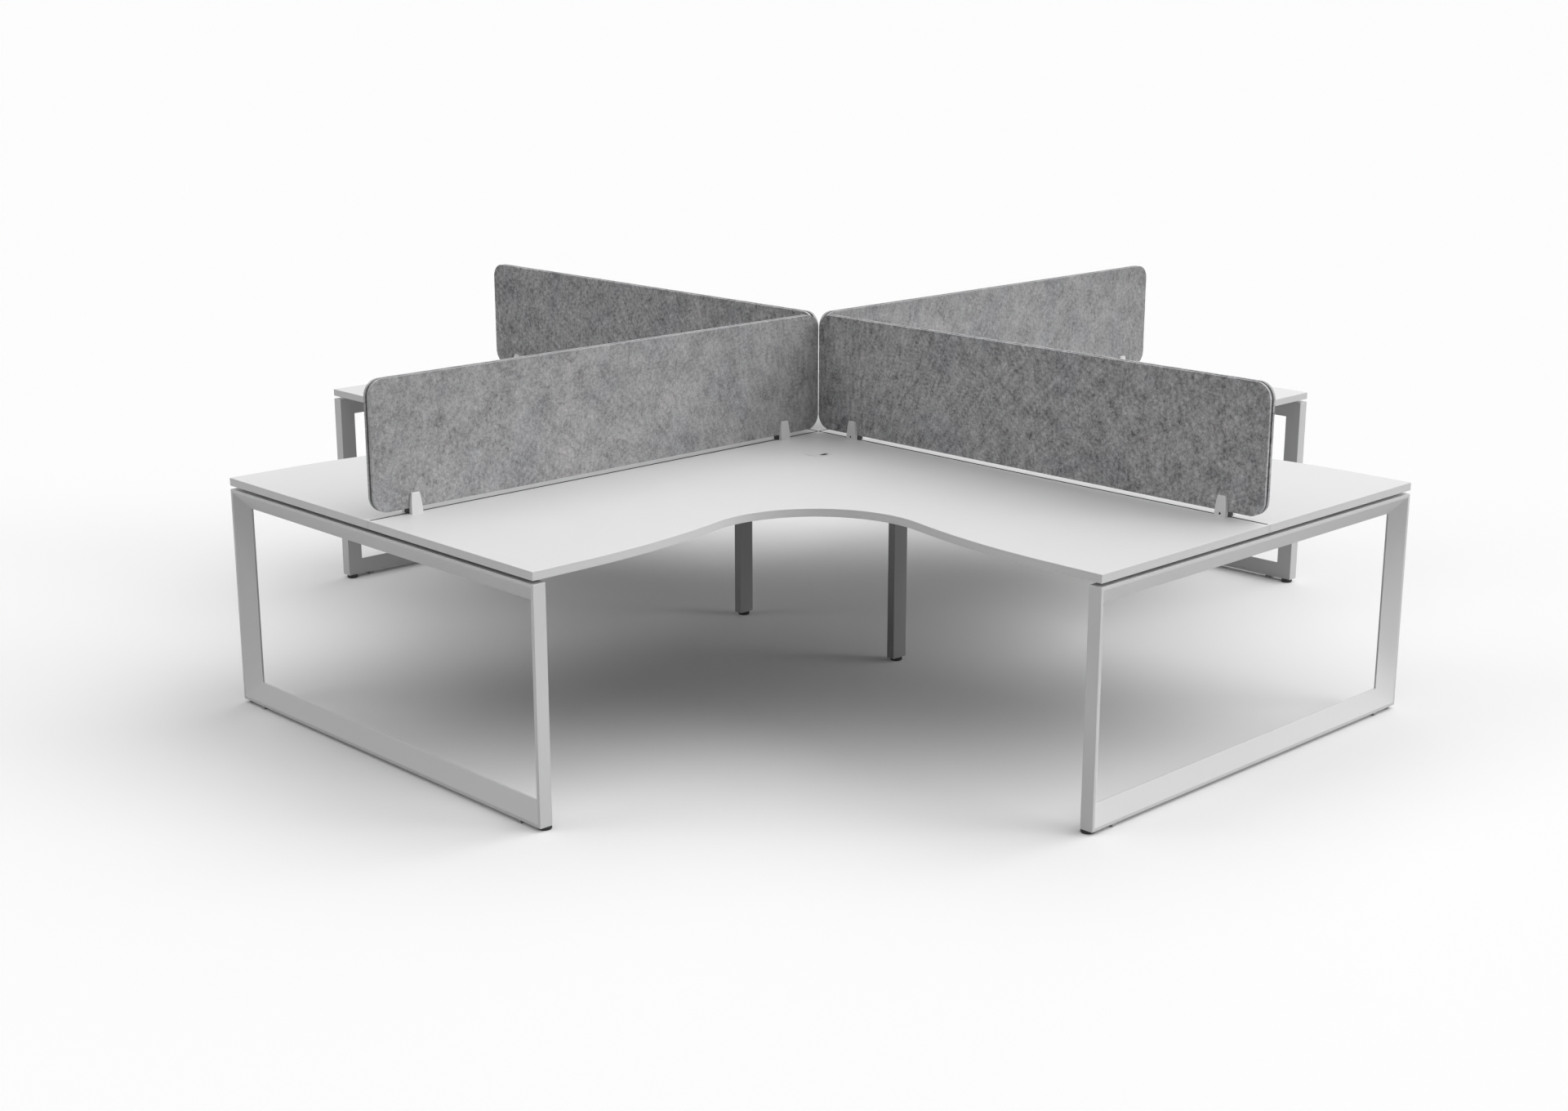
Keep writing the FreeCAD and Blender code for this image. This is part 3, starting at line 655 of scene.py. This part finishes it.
def make_felt():
    """Mottled grey pressed felt."""
    material, tree, shader = new_finish("grey_pressed_felt")
    drawn_up = stretched(tree, CARDING_SHARE)
    noises = {name: noise_node(tree, drawn_up, *values) for name, values in FELT_NOISES.items()}
    warm = smooth_step(tree, noises["patches"], WARM_SPAN, (0.0, 1.0))
    cool = smooth_step(tree, noises["patches"], COOL_SPAN, (1.0, 0.0))
    colour = mixed(tree, cool, mixed(tree, warm, FELT_GREY, FELT_WARM), FELT_COOL)
    tone = felt_tone(tree, noises, drawn_up)
    feed(tree, scaled_colour(tree, colour, tone), shader.inputs["Base Color"])
    shader.inputs["Roughness"].default_value = FELT_ROUGHNESS
    shader.inputs["Sheen Weight"].default_value = FELT_SHEEN
    shader.inputs["Specular IOR Level"].default_value = FELT_SPECULAR
    bumped(tree, shader, added(tree, noises["fibres"], noises["tufts"]), FELT_DEPTH)
    return material


FINISHES["felt"] = make_felt()
print("finish", FINISHES["felt"].name)

# %% [markdown]
# ## Soft edges
# No real edge is perfectly sharp. A tube's corner is rolled, a board's edge is broken with a cutter, a
# moulding has a small radius, and these thin bands are what catches the light. The CAD mesh is loose
# triangles and stays untouched, so each node is copied, merged and freed of the lines inside its flat
# faces. Then the outer corners are picked by their angle and bevelled.

# %% Copies of the CAD nodes
MERGE = 0.01 * MM
FLAT = math.radians(0.15)


def merged_copy(node):
    """A bmesh of a CAD node with its doubles merged."""
    shape = bmesh.new()
    shape.from_mesh(frame["nodes"][node].data)
    bmesh.ops.remove_doubles(shape, verts=shape.verts, dist=MERGE)
    return shape


def join_flat_faces(shape):
    """Frees the flat faces of a bmesh of the lines inside them."""
    bmesh.ops.dissolve_limit(shape, angle_limit=FLAT, verts=shape.verts, edges=shape.edges)


print("merged within", MERGE / MM, "mm")

# %% Rounded corners
CORNER = math.radians(25.0)


def outer_corners(shape, least_length):
    """The convex edges sharper than CORNER and at least this long."""
    found = [edge for edge in shape.edges if edge.is_manifold and edge.is_convex]
    found = [edge for edge in found if edge.calc_face_angle() > CORNER]
    return [edge for edge in found if edge.calc_length() >= least_length]


def soften(shape, radius, segments, least_length=0.0):
    """Rounds the outer corners of a bmesh and tells how many there were."""
    edges = outer_corners(shape, least_length)
    bmesh.ops.bevel(shape, geom=edges, offset=radius, offset_type="OFFSET", affect="EDGES",
                    segments=segments, profile=0.5, material=-1, clamp_overlap=True)
    return len(edges)


print("corners sharper than", round(math.degrees(CORNER)), "degrees")

# %% [markdown]
# ## From a mesh to a piece
# A finished mesh becomes an object of its own that stands for its CAD node. It takes the node's finish
# and rides on the node's body, so that it moves with the joints. Its faces are shaded smooth up to an
# angle, and a Weighted Normal modifier keeps the large ones flat in the light.

# %% Pieces that stand for CAD nodes
SMOOTH = math.radians(40.0)
RECORD = frame["record"]
BODY_OF = {node: body for body, nodes in RECORD["behaviour"]["bodies"].items() for node in nodes}
SLOT_OF = {part["node"]: part["material_slot"] for part in RECORD["subparts"]}


def piece_for(node, shape, name):
    """Makes a shown piece of a bmesh: it replaces the CAD node, rides on its body, takes its finish."""
    mesh = bpy.data.meshes.new(name)
    shape.to_mesh(mesh)
    shape.free()
    for face in mesh.polygons:
        face.use_smooth = True
    mesh.set_sharp_from_angle(angle=SMOOTH)
    mesh.materials.append(FINISHES[SLOT_OF[node]])
    piece = bpy.data.objects.new(name, mesh)
    bpy.context.scene.collection.objects.link(piece)
    flat_normals = piece.modifiers.new("weighted", "WEIGHTED_NORMAL")
    flat_normals.keep_sharp = True
    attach(piece, BODY_OF[node])
    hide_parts(node)
    return piece


print("slots", sorted(set(SLOT_OF.values())))

# %% [markdown]
# ## End frames
# Each end frame is one loop of four steel tubes, mitred, welded and ground flush before painting, so no
# joint shows. In CAD the tubes are four solids that touch at their mitres. Merging them leaves the mitre
# faces inside the loop. They are found by their normals, which lean equally far up and sideways, and are
# deleted. That leaves one closed loop, hollow inside, and its long corners are rounded like rolled tube.
# The short edges of the feet's holes are left sharp.

# %% End frames
TUBE_ROUND = 1.0 * MM
TUBE_SEGMENTS = 3
TUBE_EDGE = 20 * MM
SAME = 0.001


def is_mitre(face, along):
    """True if the face lies on a mitre of a frame that stands across the axis along (0 is X, 1 is Y)."""
    across = 1 - along
    leans = abs(abs(face.normal[across]) - abs(face.normal.z)) < SAME
    return leans and abs(face.normal[along]) < SAME


for number, arm in enumerate(ARMS):
    shape = merged_copy("end_frame_" + arm)
    inside = [face for face in shape.faces if is_mitre(face, number % 2)]
    bmesh.ops.delete(shape, geom=inside, context="FACES_ONLY")
    join_flat_faces(shape)
    open_edges = sum(not edge.is_manifold for edge in shape.edges)
    rounded = soften(shape, TUBE_ROUND, TUBE_SEGMENTS, TUBE_EDGE)
    piece = piece_for("end_frame_" + arm, shape, "frame_loop_" + arm)
    print(piece.name, "mitre faces", len(inside), "open edges", open_edges, "rounded", rounded)

# %% [markdown]
# ## Worktops, edging and the other hard parts
# A board is cut square and its edging strip glued on, then the strip is trimmed with a small radius.
# That radius is in the CAD shape already, so here the boards and strips only get the hairline that a
# glued joint leaves. Plates and tubes below the desk get the radius of sheared or rolled steel, and the
# plastic pieces that of a mould. Screws and nuts made of plated steel stay as they are.

# %% Softened hard parts
# Start of the node's name, then the radius and the number of segments.
EDGE_RADII = {
    "worktop_": (0.15 * MM, 1),
    "seam_plugs": (0.5 * MM, 2),
    "beam_": (1.5 * MM, 3),
    "centre_leg_": (1.6 * MM, 3),
    "clip_halves_": (0.5 * MM, 2),
    "clip_blocks": (0.6 * MM, 2),
    "glide_pads": (0.8 * MM, 2),
    "rail_brackets": (0.6 * MM, 2),
    "joint_plate": (0.6 * MM, 2),
    "grommet_ring_": (0.3 * MM, 2),
    "grommet_cap_": (0.4 * MM, 2),
    "foot_": (0.4 * MM, 2),
}


def edge_radius(node):
    """The radius and segments for a node, or None if it stays as it is."""
    for start, radius in EDGE_RADII.items():
        if node.startswith(start) and SLOT_OF[node] != "zinc_steel":
            return radius
    return None


for node in sorted(filter(edge_radius, frame["nodes"])):
    shape = merged_copy(node)
    join_flat_faces(shape)
    rounded = soften(shape, *edge_radius(node))
    piece = piece_for(node, shape, "finished_" + node)
    print(piece.name, "edges", rounded, "faces", len(piece.data.polygons))

# %% [markdown]
# ## Felt boards
# Pressed felt is cut with a knife, and the cut edge relaxes to a soft rounding. The faces are never
# perfectly flat either. Each board is a copy of its CAD board with a rounded rim, cut into a grid of
# small fields whose corners are moved inwards by a fraction of a millimetre, more or less by a noise.

# %% Felt boards
FELT_ROUND = 0.8 * MM
FELT_SEGMENTS = 3
FIELD = 30 * MM
WAVE = 0.25 * MM
WAVE_LENGTH = 90 * MM
LEVEL = 0.999
UP = 2


def cut_in_fields(shape, axis, low, high, size):
    """Cuts a bmesh into slices of this size across an axis."""
    count = int((high - low) / size)
    across = Vector([float(number == axis) for number in range(3)])
    for step in range(1, count):
        place = low + step * (high - low) / count
        geometry = shape.verts[:] + shape.edges[:] + shape.faces[:]
        bmesh.ops.bisect_plane(shape, geom=geometry, plane_co=across * place, plane_no=across,
                               dist=MERGE)


def make_uneven(shape, axis, middle):
    """Moves the corners on the two large faces, which lie across the axis, a little inwards."""
    for vert in shape.verts:
        if all(abs(face.normal[axis]) > LEVEL for face in vert.link_faces):
            side = 1.0 if vert.co[axis] > middle else -1.0
            vert.co[axis] -= side * WAVE * (1.0 + noise.noise(vert.co / WAVE_LENGTH)) / 2


def felt_board(node):
    """A softly uneven copy of a felt board."""
    low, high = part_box(node)
    along = 0 if high.x - low.x > high.y - low.y else 1
    thick = 1 - along
    shape = merged_copy(node)
    join_flat_faces(shape)
    soften(shape, FELT_ROUND, FELT_SEGMENTS)
    cut_in_fields(shape, along, low[along], high[along], FIELD)
    cut_in_fields(shape, UP, low.z, high.z, FIELD)
    make_uneven(shape, thick, (low[thick] + high[thick]) / 2)
    return piece_for(node, shape, "felt_" + node)


for arm in ARMS:
    boards = [node for node in frame["nodes"] if node.startswith("screen_" + arm + "_board")]
    made = [felt_board(node) for node in sorted(boards)]
    print(arm, "felt boards", [len(piece.data.polygons) for piece in made])

# %% [markdown]
# ## Everything else
# Bolts, screws, nuts and studs are small, and the cores of the screens hide between the felt boards.
# They keep their CAD shape and only get their finish. The nodes that a softened copy stands for get
# theirs too, so that no surface is left without one.

# %% Finishes for the CAD nodes
for node, part in frame["nodes"].items():
    part.data.materials.clear()
    part.data.materials.append(FINISHES[SLOT_OF[node]])
print("nodes with a finish", len(frame["nodes"]))

# %% [markdown]
# ## View transform
# The colours must come out as written, so the view transform is Standard.

# %% View transform
bpy.context.scene.view_settings.view_transform = "Standard"
